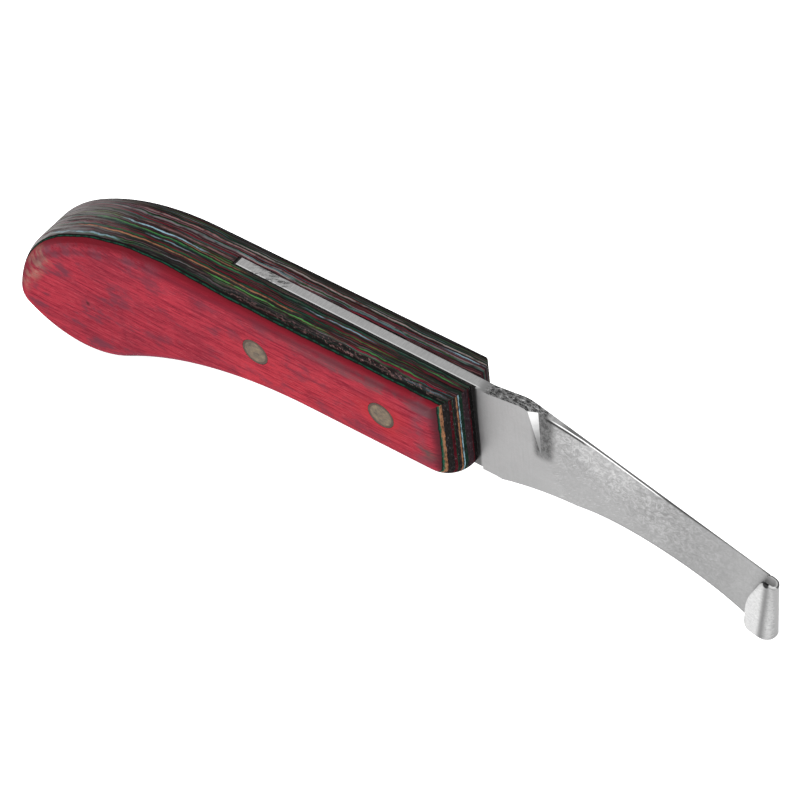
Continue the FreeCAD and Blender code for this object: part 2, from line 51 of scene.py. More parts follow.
front_rivet, rear_rivet = middle("front_rivet_tube"), middle("rear_rivet_tube")
run = front_rivet - rear_rivet
PITCH = math.atan2(-run.z, run.x)
TURN = Matrix.Rotation(PITCH, 3, "Y")
ORIGIN = front_rivet - TURN @ Vector((RIVET_X[0] * MM, 0, RIVET_Z * MM))
ORIGIN.y = 0


# ---------------------------------------------------------------- node building
# The colour sockets of a Mix node, which has others of the same names for numbers and vectors
MIX_FACTOR, MIX_FIRST, MIX_SECOND, MIX_RESULT = 0, 6, 7, 2


class Value:
    """A socket of a node tree that can be used in sums."""

    def __init__(self, graph, socket):
        self.graph, self.socket = graph, socket

    def __add__(self, other):
        return self.graph.math("ADD", self, other)

    def __sub__(self, other):
        return self.graph.math("SUBTRACT", self, other)

    def __rsub__(self, other):
        return self.graph.math("SUBTRACT", other, self)

    def __mul__(self, other):
        return self.graph.math("MULTIPLY", self, other)

    def __truediv__(self, other):
        return self.graph.math("DIVIDE", self, other)

    __radd__, __rmul__ = __add__, __mul__


class Graph:
    """The node tree of a new material."""

    def __init__(self, name):
        self.material = bpy.data.materials.new(name)
        self.material.use_nodes = True
        self.tree = self.material.node_tree
        self.tree.nodes.clear()
        self.shader = self.node("ShaderNodeBsdfPrincipled")
        output = self.node("ShaderNodeOutputMaterial")
        self.tree.links.new(self.shader.outputs[0], output.inputs["Surface"])
        self.x, self.y, self.z = self.knife_position()
        normal = self.node("ShaderNodeNewGeometry").outputs["Normal"]
        self.nx, self.ny, self.nz = self.split(Value(self, normal))

    def node(self, kind, **settings):
        made = self.tree.nodes.new(kind)
        for name, value in settings.items():
            setattr(made, name, value)
        return made

    def feed(self, socket, value):
        if isinstance(value, Value):
            self.tree.links.new(value.socket, socket)
        else:
            socket.default_value = value

    def math(self, operation, *values):
        made = self.node("ShaderNodeMath", operation=operation)
        for socket, value in zip(made.inputs, values):
            self.feed(socket, value)
        return Value(self, made.outputs[0])

    def split(self, vector):
        made = self.node("ShaderNodeSeparateXYZ")
        self.feed(made.inputs[0], vector)
        return [Value(self, socket) for socket in made.outputs]

    def vector(self, x, y, z):
        made = self.node("ShaderNodeCombineXYZ")
        for socket, value in zip(made.inputs, (x, y, z)):
            self.feed(socket, value)
        return Value(self, made.outputs[0])

    def knife_position(self):
        """The surface point in the knife's own frame, in mm."""
        place = self.node("ShaderNodeTexCoord").outputs["Object"]
        moved = self.node("ShaderNodeVectorMath", operation="SUBTRACT")
        self.tree.links.new(place, moved.inputs[0])
        moved.inputs[1].default_value = ORIGIN
        turned = self.node("ShaderNodeVectorRotate", rotation_type="Y_AXIS")
        self.tree.links.new(moved.outputs[0], turned.inputs["Vector"])
        turned.inputs["Angle"].default_value = -PITCH
        scaled = self.node("ShaderNodeVectorMath", operation="SCALE")
        self.tree.links.new(turned.outputs[0], scaled.inputs[0])
        scaled.inputs["Scale"].default_value = 1 / MM
        return self.split(Value(self, scaled.outputs[0]))

    def noise(self, x, y, z, detail=2.0, rough=0.5, distortion=0.0):
        """Noise from 0 to 1, about 0.5 on average, with features about one unit across."""
        made = self.node("ShaderNodeTexNoise")
        self.feed(made.inputs["Vector"], self.vector(x, y, z))
        made.inputs["Scale"].default_value = 1
        made.inputs["Detail"].default_value = detail
        made.inputs["Roughness"].default_value = rough
        made.inputs["Distortion"].default_value = distortion
        return Value(self, made.outputs[0])

    def chance(self, number, seed):
        """A random number from 0 to 1 for each whole number."""
        made = self.node("ShaderNodeTexWhiteNoise", noise_dimensions="2D")
        self.feed(made.inputs["Vector"], self.vector(number, seed, 0.0))
        return Value(self, made.outputs["Value"])

    def step(self, value, low, high, least=0.0, most=1.0):
        """A smooth step of value from least at low to most at high."""
        made = self.node("ShaderNodeMapRange", interpolation_type="SMOOTHSTEP")
        for socket, number in zip(made.inputs, (value, low, high, least, most)):
            self.feed(socket, number)
        return Value(self, made.outputs[0])

    def band(self, value, low, high, soft):
        """1 between low and high, falling to 0 over a soft margin at both."""
        rising = self.step(value, low - soft / 2, low + soft / 2)
        return rising * self.step(value, high + soft / 2, high - soft / 2)

    def blend(self, share, first, second):
        """A number that goes from the first to the second as the share grows to 1."""
        return first + share * (second - first)

    def spot(self, x, z, reach):
        """1 at a point of the side view, falling to 0 at a distance."""
        across, up = self.x - x, self.z - z
        return self.step(self.math("SQRT", across * across + up * up), 0.0, reach, 1.0, 0.0)

    def bump_at(self, value, centre, width):
        """1 where value is at the centre, falling to 0 a width away."""
        return self.step(self.math("ABSOLUTE", value - centre), 0.0, width, 1.0, 0.0)

    def ramp(self, factor, stops, kind="LINEAR"):
        """The colour at a place from 0 to 1 among stops of (place, colour)."""
        made = self.node("ShaderNodeValToRGB")
        ramp = made.color_ramp
        ramp.interpolation = kind
        for number, (place, colour) in enumerate(stops):
            stop = ramp.elements[number] if number < 2 else ramp.elements.new(place)
            stop.position = place
            stop.color = (*colour, 1)
        self.feed(made.inputs[0], factor)
        return Value(self, made.outputs[0])

    def mix(self, factor, first, second):
        """A colour that goes from the first to the second as the factor grows to 1."""
        made = self.node("ShaderNodeMix", data_type="RGBA", blend_type="MIX")
        made.clamp_factor = True
        sockets = [made.inputs[number] for number in (MIX_FACTOR, MIX_FIRST, MIX_SECOND)]
        for socket, value in zip(sockets, (factor, first, second)):
            self.feed(socket, (*value, 1) if isinstance(value, tuple) else value)
        return Value(self, made.outputs[MIX_RESULT])

    def grey(self, value):
        """The neutral colour of a brightness."""
        made = self.node("ShaderNodeCombineColor")
        for socket in made.inputs[:3]:
            self.feed(socket, value)
        return Value(self, made.outputs[0])

    def finish(self, colour, roughness, height, depth_mm, **others):
        """Connect the colour, the roughness, the bump and any other inputs of the surface."""
        self.feed(self.shader.inputs["Base Color"], colour)
        self.feed(self.shader.inputs["Roughness"], roughness)
        bump = self.node("ShaderNodeBump")
        bump.inputs["Strength"].default_value = 1
        bump.inputs["Distance"].default_value = depth_mm * MM
        self.feed(bump.inputs["Height"], height)
        self.tree.links.new(bump.outputs[0], self.shader.inputs["Normal"])
        for name, value in others.items():
            self.feed(self.shader.inputs[name.replace("_", " ")], value)
        return self.material


# ---------------------------------------------------------------- colours (linear)
# Dyes and glue lines of the veneers
BLACK = (0.007, 0.007, 0.007)
CHARCOAL = (0.016, 0.014, 0.014)
MAROON = (0.058, 0.006, 0.010)
FOREST = (0.009, 0.026, 0.017)
PLUM = (0.036, 0.020, 0.025)
UMBER = (0.024, 0.019, 0.018)
GREY = (0.150, 0.145, 0.150)
TEAL = (0.014, 0.075, 0.046)
GREEN = (0.060, 0.230, 0.060)
TAN = (0.270, 0.125, 0.065)
SKY = (0.230, 0.370, 0.440)
CRIMSON = (0.200, 0.012, 0.028)
ROSE = (0.240, 0.130, 0.130)
PALE = (0.330, 0.280, 0.270)
# Painted sheen for the rear end of the handle
BUTT_SHEEN = (0.270, 0.255, 0.255)

# Red face: its dye, its grain, what has marked it, and the painted shade and sheen on its top and
# rounded edges
RED_SHADES = (
    (0.30, (0.205, 0.026, 0.040)), (0.50, (0.285, 0.029, 0.044)), (0.72, (0.335, 0.032, 0.048)),
)
RED_CLOUD = (0.170, 0.024, 0.038)
RED_WAIST = (0.430, 0.040, 0.052)
RED_DARK_GRAIN = (0.150, 0.012, 0.024)
RED_LIGHT_GRAIN = (0.410, 0.042, 0.062)
RED_FLECK = (0.450, 0.085, 0.100)
RED_PORE = (0.095, 0.010, 0.020)
RED_SMUDGE = (0.125, 0.032, 0.048)
RED_TOP_SHADE = (0.190, 0.010, 0.019)
RED_GLOW = (0.400, 0.030, 0.030)
GREY_SMUDGE = (0.095, 0.062, 0.068)
CROWN_SMUDGE = (0.150, 0.062, 0.082)
FRONT_SMUDGE = (0.120, 0.052, 0.068)
FRONT_STAIN = (0.050, 0.062, 0.058)
KNOT = (0.040, 0.014, 0.016)
BARE_WOOD = (0.290, 0.185, 0.140)
# Painted light on the rounded edges: shade above, at the front and at the rear, and a paler sheen
# below
EDGE_SHADOW = (0.085, 0.014, 0.024)
UPPER_EDGE_SHADE = (0.112, 0.008, 0.013)
LOWER_EDGE_SHEEN = (0.170, 0.075, 0.110)
FRONT_EDGE_SHADE = (0.070, 0.016, 0.022)
REAR_EDGE_SHADE = (0.080, 0.020, 0.028)

# Brightness of the steel as finished, and of what stands out from it: most of these are painted
# highlights and painted shade
SATIN = 0.262
EDGE_HIGHLIGHT, SHADE_UNDER_EDGE, OUTLINE_SHADE, THIN_TOP = 0.95, 0.012, 0.10, 0.105
HOOK_STRIPE_SHADE, HOOK_BORE_LIGHT, HOOK_RIM_HIGHLIGHT, HOOK_NOTCH_SHADE = 0.12, 0.45, 0.75, 0.015
TANG_EDGE_HIGHLIGHT, TANG_CHIP = 0.90, 0.055
SCORCHED, BACK_PIT, BACK_GLINT = 0.22, 0.016, 0.80

# Far face, rivets, bedding and floor
BROWN_SHADES = (
    (0.34, (0.008, 0.007, 0.007)), (0.50, (0.026, 0.019, 0.017)), (0.66, (0.062, 0.043, 0.037)),
)
BRASS_SHADES = (
    (0.34, (0.060, 0.046, 0.032)), (0.50, (0.112, 0.082, 0.055)), (0.66, (0.172, 0.130, 0.076)),
)
BRASS_TARNISH = (0.070, 0.055, 0.040)
SEAM_DIRT = (0.045, 0.022, 0.014)
BEDDING_SHADES = ((0.35, (0.006, 0.006, 0.006)), (0.7, (0.022, 0.020, 0.020)))
FLOOR_SHADES = ((0.3, (0.93, 0.93, 0.93)), (0.7, (0.96, 0.96, 0.96)))

# Dark veneers and hair lines, by a random number from 0 to 1
VENEER_DYES = (
    (0.0, BLACK), (0.38, CHARCOAL), (0.62, MAROON), (0.72, FOREST), (0.88, PLUM), (0.95, UMBER),
)
HAIR_TINTS = (
    (0.0, CRIMSON), (0.24, TEAL), (0.40, SKY), (0.54, GREY), (0.72, CRIMSON), (0.82, GREEN),
    (0.90, ROSE),
)

# Pitch in mm of the random dark layers, and a number that keeps the count of layers positive
LAYER_PITCH = 0.27
FIRST_LAYER = 60.0

# Bright glue lines between the veneers: depth and half width in mm, colour, the stretch of the
# handle where they show, in mm behind its front, and strength
GLUE_LINES = (
    (-7.0, 0.16, SKY, 15, 5, 0.5),
    (-6.3, 0.14, SKY, 119, 97, 0.6),
    (-6.1, 0.13, CRIMSON, 34, 2, 0.8),
    (-5.7, 0.15, GREEN, 70, 38, 0.9),
    (-5.6, 0.14, GREEN, 28, 11, 0.7),
    (-4.8, 0.17, TAN, 110, 46, 0.9),
    (-4.3, 0.12, TAN, 34, 22, 0.5),
    (-4.3, 0.14, TEAL, 132, 30, 0.6),
    (-3.8, 0.20, CRIMSON, 132, 0, 0.3),
    (-2.2, 0.14, TEAL, 132, 0, 0.6),
    (-2.9, 0.15, SKY, 90, 77, 0.5),
    (-2.8, 0.15, SKY, 44, 27, 0.7),
    (-3.1, 0.14, GREEN, 12, 3, 0.7),
    (-1.9, 0.15, GREEN, 108, 64, 0.6),
    (-1.3, 0.12, TAN, 82, 63, 0.6),
    (-0.8, 0.20, SKY, 99, 76, 1.0),
    (0.5, 0.20, ROSE, 94, 68, 0.7),
    (1.5, 0.16, CRIMSON, 110, 66, 0.5),
    (2.7, 0.26, GREY, 106, 66, 0.8),
    (2.7, 0.17, PALE, 68, 44, 0.7),
    (2.2, 0.14, CRIMSON, 37, 26, 0.8),
    (3.4, 0.16, GREY, 62, 0, 0.8),
    (4.2, 0.20, ROSE, 98, 60, 0.9),
    (4.3, 0.16, SKY, 11, 2, 0.8),
    (5.0, 0.18, PALE, 70, 0, 0.7),
    (6.1, 0.16, PLUM, 120, 0, 0.7),
)

# Spacing in mm, seed and strength of the layers of hair-thin lines
HAIR_LINES = ((0.55, 5.3, 0.42), (0.37, 9.7, 0.30), (0.24, 14.1, 0.26))

# Veneer ends on the rounded front of the near cheek, by their share of the first 10 mm
VENEER_ENDS = (
    (0.000, TEAL), (0.130, TAN), (0.172, CHARCOAL), (0.275, MAROON), (0.325, FOREST),
    (0.350, CHARCOAL), (0.390, UMBER), (0.405, TAN), (0.435, CHARCOAL), (0.452, SKY),
    (0.476, FOREST), (0.550, PLUM), (0.700, MAROON), (0.740, BLACK),
)


# ---------------------------------------------------------------- handle
def red_dye(g):
    """Dyed birch, cloudy, and clearest at the waist of the handle."""
    x, y, z = g.x, g.y, g.z
    cloud = g.noise(x * 0.045, y * 0.1, z * 0.09, 3.0, 0.6)
    colour = g.ramp(cloud, RED_SHADES)
    upright = g.noise(x * 0.16 + 3.0, y * 0.1, z * 0.03, 2.0, 0.5)
    colour = g.mix(g.step(upright, 0.50, 0.66) * 0.45, colour, RED_CLOUD)
    waist = g.band(x, -64.0, -28.0, 16.0) * g.step(z, -7.0, -14.0)
    return g.mix(waist * 0.45, colour, RED_WAIST), cloud


def red_grain(g, colour):
    """Grain, pale flecks and dark pores along the handle."""
    x, y, z = g.x, g.y, g.z
    grain = g.noise(x * 0.09, y * 1.5, z * 2.1, 4.0, 0.70)
    colour = g.mix(g.step(grain, 0.50, 0.38) * 0.65, colour, RED_DARK_GRAIN)
    colour = g.mix(g.step(grain, 0.52, 0.64) * 0.50, colour, RED_LIGHT_GRAIN)
    fleck = g.noise(x * 0.42, y * 2.0, z * 4.8, 3.0, 0.6)
    colour = g.mix(g.step(fleck, 0.58, 0.68) * 0.45, colour, RED_FLECK)
    pore = g.noise(x * 0.30 + 40.0, y * 2.0, z * 5.2, 3.0, 0.6)
    return g.mix(g.step(pore, 0.56, 0.66) * 0.65, colour, RED_PORE), grain, fleck


def red_smudges(g, colour, cloud):
    """Smudges, most of them near the upper edge and the front, painted shade as a darker red band
    along the top, and a small knot.
    """
    x, y, z, nz = g.x, g.y, g.z, g.nz
    smudge = g.noise(x * 0.10 + 7.0, y * 0.2, z * 0.20 + 3.0, 4.0, 0.68)
    share = g.step(x, -88.0, -102.0, 0.55, 0.85)
    colour = g.mix(g.step(smudge, 0.50, 0.66) * share, colour, RED_SMUDGE)
    # Painted shade: a darker red band along the top of the face, over its front part
    deep = g.step(z + cloud * 3.0, -4.2, -2.0) * g.step(x, -92.0, -74.0)
    colour = g.mix(deep * 0.70, colour, RED_TOP_SHADE)
    upper = g.band(z, -6.8, -3.4, 1.2) * g.step(x, -66.0, -20.0) * g.step(x, -3.0, -6.0)
    colour = g.mix(upper * g.step(smudge, 0.36, 0.56) * 0.65, colour, GREY_SMUDGE)
    crown = g.step(nz, 0.04, 0.22) * g.band(x, -122.0, -84.0, 8.0)
    colour = g.mix(crown * g.step(smudge, 0.40, 0.56) * 0.55, colour, CROWN_SMUDGE)
    glow = g.spot(RIVET_X[0], RIVET_Z, 11.0) * g.step(cloud, 0.35, 0.60)
    colour = g.mix(glow * 0.55, colour, RED_GLOW)
    return g.mix(g.spot(-107.0, -27.0, 1.0) * 0.8, colour, KNOT)


def rubbed_corner(g, colour, worn):
    """Bare wood where the rear edge has been rubbed."""
    back, up = g.x + 121.5, g.z + 26.5
    along, across = back * 0.57 + up * 0.82, back * 0.82 - up * 0.57
    rubbed = g.band(along, -9.0, 9.0, 3.0) * g.step(across, 1.0, -2.8)
    return g.mix(rubbed * g.step(worn, 0.36, 0.62) * 0.75, colour, BARE_WOOD)


def red_edges(g, colour, worn):
    """Rounded edges: painted shade as a dark band and a darker red over the upper rounding, a paler,
    bluish painted sheen below, painted shade on the front and rear roundings, and a smudge and a
    stain near the front.
    """
    x, nx, nz = g.x, g.nx, g.nz
    # Painted shade over the upper rounding: a dark band where it leaves the flat, then a darker red
    colour = g.mix(g.bump_at(nz, 0.28, 0.22) * 0.50, colour, EDGE_SHADOW)
    colour = g.mix(g.step(nz, 0.36, 0.66) * 0.92, colour, UPPER_EDGE_SHADE)
    # Painted sheen: paler and bluish where the rounding faces down
    colour = g.mix(g.step(nz, -0.25, -0.70) * 0.60, colour, LOWER_EDGE_SHEEN)
    behind_front = g.band(x, -11.5, -8.5, 2.6) * g.step(worn, 0.38, 0.60)
    colour = g.mix(behind_front * 0.50, colour, FRONT_SMUDGE)
    # Painted shade on the front rounding
    colour = g.mix(g.step(nx, 0.12, 0.45) * 0.90, colour, FRONT_EDGE_SHADE)
    stain = g.spot(-8.0, -19.0, 3.6) * g.step(worn, 0.35, 0.60)
    colour = g.mix(stain * 0.75, colour, FRONT_STAIN)
    # Painted shade on the rear rounding
    return g.mix(g.step(nx, -0.35, -0.80) * 0.55, colour, REAR_EDGE_SHADE)


def red_face(g):
    """Red birch, worn and stained by use, with painted shade and a painted sheen on its rounded
    edges.
    """
    colour, cloud = red_dye(g)
    colour, grain, fleck = red_grain(g, colour)
    colour = red_smudges(g, colour, cloud)
    worn = g.noise(g.x * 0.22, g.y * 0.4, g.z * 0.40, 5.0, 0.62)
    colour = rubbed_corner(g, colour, worn)
    return red_edges(g, colour, worn), grain, fleck


def glue_line(g, base, depth, place, half_width, tint, rear, front, strength):
    """A bright line at its depth, broken up along its length."""
    broken = g.noise(g.x * 0.20, place * 3.1, g.z * 0.20, 3.0, 0.75)
    shown = g.band(g.x, -rear, -front, 6.0) * g.step(broken, 0.30, 0.56)
    across = g.math("ABSOLUTE", depth - place)
    line = g.step(across, 0.5 * half_width, 1.3 * half_width, 1.0, 0.0)
    return g.mix(line * shown * strength, base, tint)


def hair_lines(g, base, depth):
    """Hair-thin coloured lines at random depths, each showing here and there."""
    for spacing, seed, gain in HAIR_LINES:
        place = depth / spacing + FIRST_LAYER
        row = g.math("FLOOR", place)
        across = g.math("ABSOLUTE", place - row - 0.5)
        shown = g.noise(g.x * 0.055, row * 3.7 + seed, g.z * 0.055, 3.0, 0.6)
        line = g.step(across, 0.10, 0.28, 1.0, 0.0) * g.step(shown, 0.46, 0.60)
        base = g.mix(line * gain, base, g.ramp(g.chance(row, seed), HAIR_TINTS, "CONSTANT"))
    return base


def veneer_depth(g):
    """How deep in the block a point lies: sanding at an angle makes the lines wander."""
    x, y, z = g.x, g.y, g.z
    off_centre = g.math("ABSOLUTE", y - 1.2)
    rise = g.step(x, -113.0, -88.0, 1.8, 0.0) * g.step(off_centre, 0.0, 8.8, 1.0, 0.0)
    drift = (g.noise(x * 0.050, y * 0.12, z * 0.05, 2.0, 0.5) - 0.5) * 1.1
    wander = (g.noise(x * 0.17, y * 0.25, z * 0.17, 2.0, 0.5) - 0.5) * 0.9
    fray = (g.noise(x * 0.8, y * 1.4, z * 0.8, 4.0, 0.65) - 0.5) * 0.30
    return y - rise + drift + wander + fray, drift, fray


def dark_veneers(g, depth):
    """Dark veneers, each with its own dye and streaks."""
    x, z = g.x, g.z
    row = g.math("FLOOR", depth / LAYER_PITCH + FIRST_LAYER)
    base = g.ramp(g.chance(row, 3.1), VENEER_DYES, "CONSTANT")
    streak = g.noise(x * 0.25, depth * 4.0, z * 0.25, 4.0, 0.72)
    base = g.mix(g.step(streak, 0.56, 0.72) * 0.30, base, PLUM)
    base = g.mix(g.step(streak, 0.48, 0.34) * 0.85, base, BLACK)
    speck = g.noise(x * 0.75, depth * 5.5, z * 0.75, 3.0, 0.75)
    return g.mix(g.step(speck, 0.60, 0.72) * 0.22, base, ROSE), streak


def flecked_veneer(g, base, depth):
    """A band of pale and black flecks a little behind the red face."""
    x = g.x
    rope = g.noise(x * 1.1 + depth * 1.6, depth * 2.6, g.z * 1.1, 3.0, 0.7)
    flecked = g.band(depth, -7.9, -6.7, 0.3) * g.band(x, -66.0, -5.0, 8.0)
    base = g.mix(flecked * 0.6, base, BLACK)
    return g.mix(flecked * g.step(rope, 0.52, 0.64) * g.step(x, -52.0, -24.0, 0.30, 0.65), base, ROSE)


def far_side(g, base):
    """Darker towards the far edge, with brown grain on the far face."""
    x, y, z = g.x, g.y, g.z
    base = g.mix(g.step(y, 5.4, 6.6) * 0.45, base, UMBER)
    base = g.mix(g.step(y, 6.6, 8.2) * 0.92, base, BLACK)
    board = g.noise(x * 0.09, y * 1.5, z * 2.1, 5.0, 0.70)
    on_face = g.step(g.ny, 0.4, 0.9) * g.step(y, 8.0, 9.0)
    return g.mix(on_face * 0.9, base, g.ramp(board, BROWN_SHADES))


def veneer_ends(g, base, drift, fray):
    """The rounded front, where each veneer of the near cheek shows its end."""
    x, y, z, nx = g.x, g.y, g.z, g.nx
    ends = g.ramp((y + drift * 0.12 + fray + 10.0) / 10.0, VENEER_ENDS, "CONSTANT")
    soot = g.noise(x * 1.5, y * 2.4, z * 0.6, 3.0, 0.7)
    ends = g.mix(g.step(soot, 0.42, 0.64) * 0.70, ends, BLACK)
    speck = g.noise(x * 2.0, y * 3.0 + 4.0, z * 1.1, 3.0, 0.75)
    ends = g.mix(g.step(speck, 0.56, 0.68) * 0.35, ends, GREY)
    base = g.mix(g.step(nx, 0.20, 0.45) * g.step(y, 1.4, 1.6) * 0.45, base, BLACK)
    on_nose = g.step(nx, 0.16, 0.30) * g.step(y, -1.4, -1.2, 1.0, 0.0)
    return g.mix(on_nose, base, ends), on_nose


def laminate(g):
    """Dyed veneers with their glue lines, with patches of painted sheen over the rear end of the
    handle.
    """
    depth, drift, fray = veneer_depth(g)
    base, streak = dark_veneers(g, depth)
    base = hair_lines(g, base, depth)
    for details in GLUE_LINES:
        base = glue_line(g, base, depth, *details)
    base = flecked_veneer(g, base, depth)
    base = far_side(g, base)
    # Painted sheen in patches where the surface faces the rear
    sheen_patches = g.noise(g.x * 0.08, depth * 3.4, g.z * 0.08, 4.0, 0.7)
    base = g.mix(g.step(g.nx, -0.10, -0.75) * g.step(sheen_patches, 0.36, 0.60, 0.15, 0.95), base, BUTT_SHEEN)
    base, on_nose = veneer_ends(g, base, drift, fray)
    return base, fray, streak, on_nose


def handle_material():
    """Laminated wood: the red face is thicker at the butt, with a thin green veneer behind it."""
    g = Graph("laminated_wood")
    x, y, z = g.x, g.y, g.z
    base, fray, streak, on_nose = laminate(g)
    wave = (g.noise(x * 0.14, y * 0.30 + 5.0, z * 0.14, 2.0, 0.5) - 0.5) * 0.8
    red_depth = g.step(x, -122.0, -50.0, -7.3, -8.5) - on_nose * 0.45
    behind = y + wave * 0.5 + fray * 0.7 - red_depth
    base = g.mix(g.step(behind, 0.62, 0.80, 1.0, 0.0) * (1.0 - on_nose), base, BLACK)
    patchy = g.step(g.noise(x * 0.5, y * 0.5, z * 0.5 + 9.0, 3.0, 0.7), 0.38, 0.60, 0.15, 0.85)
    base = g.mix(g.bump_at(behind, 0.27, 0.19) * patchy, base, TEAL)
    base = g.mix(g.step(behind, 0.10, 0.16, 0.8, 0.0), base, BLACK)
    red, grain, fleck = red_face(g)
    colour = g.mix(g.step(behind, -0.05, 0.05, 1.0, 0.0), base, red)
    height = grain * 0.45 + fleck * 0.25 + streak * 0.30
    roughness = g.step(g.noise(x * 0.3, y * 0.6, z * 0.6, 3.0, 0.6), 0.2, 0.8, 0.50, 0.65)
    return g.finish(colour, roughness, height, WOOD_RELIEF, Specular_IOR_Level=0.0)


# ---------------------------------------------------------------- metal
# Each part takes the brightness of the steel so far and gives it back with its own marks.
def flat_part(g, shade, flat, brush):
    """Flat by the handle, rubbed upright, with painted shade in the corner against the wood."""
    shade = shade + flat * (brush - 0.5) * 0.045
    # Painted shade where the blade meets the handle
    corner = g.step(g.x - g.z * 0.045, 1.3, 0.5) * g.step(g.ny, -0.5, -0.9)
    return shade * (1.0 - corner * 0.70)


def ground_face(g, shade, ground, swirl):
    """Swirled and mottled by grinding, most of all above, and less so towards the tip, with a painted
    brighter patch and painted shade further along.
    """
    x, y, z = g.x, g.y, g.z
    fading = g.step(x, 44.0, 68.0, 1.0, 0.25)
    marks = g.step(swirl, 0.51, 0.59, 0.0, 0.075) - g.step(swirl, 0.48, 0.41, 0.0, 0.05)
    shade = shade + ground * fading * marks * g.step(z + x * 0.42, -6.0, 3.0, 0.25, 1.0)
    # Painted light: brighter in the middle of the ground face, and painted shade further along
    bright = g.step(x, 22.0, 27.0) * g.step(x, 33.0, 46.0, 1.0, 0.0) * g.step(z + x * 0.3, -6.0, 4.0)
    lower = g.step(x, 40.0, 52.0) * g.step(x, 72.0, 60.0)
    shade = shade + ground * (bright * 0.05 - lower * 0.03)
    scratch = g.noise(x * 0.35 + z * 0.55, y, z * 4.0 - x * 2.5, 2.0, 0.5)
    return shade + ground * fading * g.step(scratch, 0.62, 0.72) * 0.09


def grinding_step(g, shade):
    """The step in front of the flat: a painted highlight on its facet, then painted shade in the
    hollow.
    """
    x, y, z, nx, ny = g.x, g.y, g.z, g.nx, g.ny
    # Painted highlight on the facet, brightest at the top
    facet = g.band(nx, 0.30, 0.75, 0.06) * g.band(x, 13.0, 19.5, 0.5)
    # Painted shade in the hollow, mottled
    hollow = g.step(x, 20.9, 18.8) * g.step(x, 14.6, 16.6) * g.step(z, -14.2, -11.2)
    hollow = hollow * (1.0 - facet) * g.step(ny, -0.6, -0.9) * g.step(nx, 0.25, 0.15)
    blotch = g.noise(x * 1.3, y, z * 1.0, 4.0, 0.75)
    shade = g.blend(hollow * 0.88, shade, g.step(blotch, 0.38, 0.64, 0.018, 0.105))
    height = z + blotch * 3.0 - x * 0.8
    return g.blend(facet, shade, g.step(height, -21.0, -9.5, 0.18, 0.66))


def upper_edge(g, shade):
    """A painted highlight along the upper edge with a painted dark shade line under it, painted dark
    outlines above and below, and a darker thin top.
    """
    x, z, ny, nz = g.x, g.z, g.ny, g.nz
    below = z + (x - 13.0) * 0.310 - 1.0
    # Painted shade as a dark line, with a painted highlight above it along the upper edge
    black = g.bump_at(below, -0.72, 0.55) * g.band(x, 18.2, 28.0, 2.4)
    line = g.bump_at(below, -0.12, 0.34) * g.band(x, 20.0, 47.0, 4.0)
    shade = g.blend(line * 0.9, shade, EDGE_HIGHLIGHT)
    shade = g.blend(black, shade, SHADE_UNDER_EDGE)
    # Painted shade as dark outlines along the lower and upper edges
    across, up = x - ARC_X, z - ARC_Z
    from_arc = g.math("SQRT", across * across + up * up) - ARC_RADIUS
    outline = g.step(from_arc, 0.45, 0.10) * g.step(x, 20.0, 48.0)
    outline = outline + g.step(below, -0.40, -0.10) * g.step(x, 42.0, 50.0)
    shade = g.blend(outline * g.step(ny, -0.3, -0.6) * 0.55, shade, OUTLINE_SHADE)
    return g.blend(g.step(nz, 0.5, 0.8) * g.step(x, 19.0, 24.0) * 0.85, shade, THIN_TOP)


def hook(g, shade):
    """A painted highlight makes the lobe nearly white, with painted shade as a dark stripe down to
    its foot and as a dark notch, a painted highlight on the rim, and painted light inside the bore,
    which is grey and not metallic.
    """
    x, y, z, nz, ny = g.x, g.y, g.z, g.nz, g.ny
    on_hook = g.step(ny, -0.2, -0.5) * g.step(y, -1.0, -1.5) * g.step(x, 67.0, 68.0)
    stripe_x = 75.0 + (z + 18.0) * 0.050
    # Painted highlight on the lobe
    shade = shade + on_hook * (g.step(x, 76.9, 76.0) * 0.09 + g.step(x - stripe_x, 0.2, -1.0) * 0.10)
    brushed = g.noise(x * 1.6, y, z * 3.4, 4.0, 0.80)
    shade = shade + on_hook * g.step(brushed, 0.38, 0.62, -0.06, 0.06)
    # Painted shade as a dark stripe down the hook
    shade = g.blend(on_hook * g.bump_at(x, stripe_x, 1.5) * 0.80, shade, HOOK_STRIPE_SHADE)
    lean = (z - ROLL_TOP[2]) * ROLL_LEAN
    off_x, off_y = x - lean - ROLL_TOP[0], y - lean - ROLL_TOP[1]
    turn = g.math("MAXIMUM", off_x, 0.0)
    in_bore = g.step(g.math("SQRT", turn * turn + off_y * off_y), 1.16, 1.02)
    inward = g.step(g.math("MAXIMUM", off_y, ny), 0.1, 0.4)
    facing_in = g.math("MAXIMUM", g.step(off_x, -0.4, 0.0), inward)
    inside = in_bore * facing_in * g.step(x, 72.0, 75.0) * g.step(z, -34.0, -24.0)
    # Painted light inside the bore: grey and not metallic
    shade = g.blend(inside, shade, HOOK_BORE_LIGHT)
    # Painted highlight on the rim
    rim = g.step(nz, 0.5, 0.8) * g.step(x, 74.2, 75.0) * g.step(off_y, -0.2, -0.6)
    shade = g.blend(rim, shade, HOOK_RIM_HIGHLIGHT)
    # Painted shade as a dark notch
    notch = g.step(g.spot(74.65, -18.35, 1.25), 0.15, 0.6) * g.step(y, -0.5, -0.9)
    return g.blend(notch, shade, HOOK_NOTCH_SHADE), inside


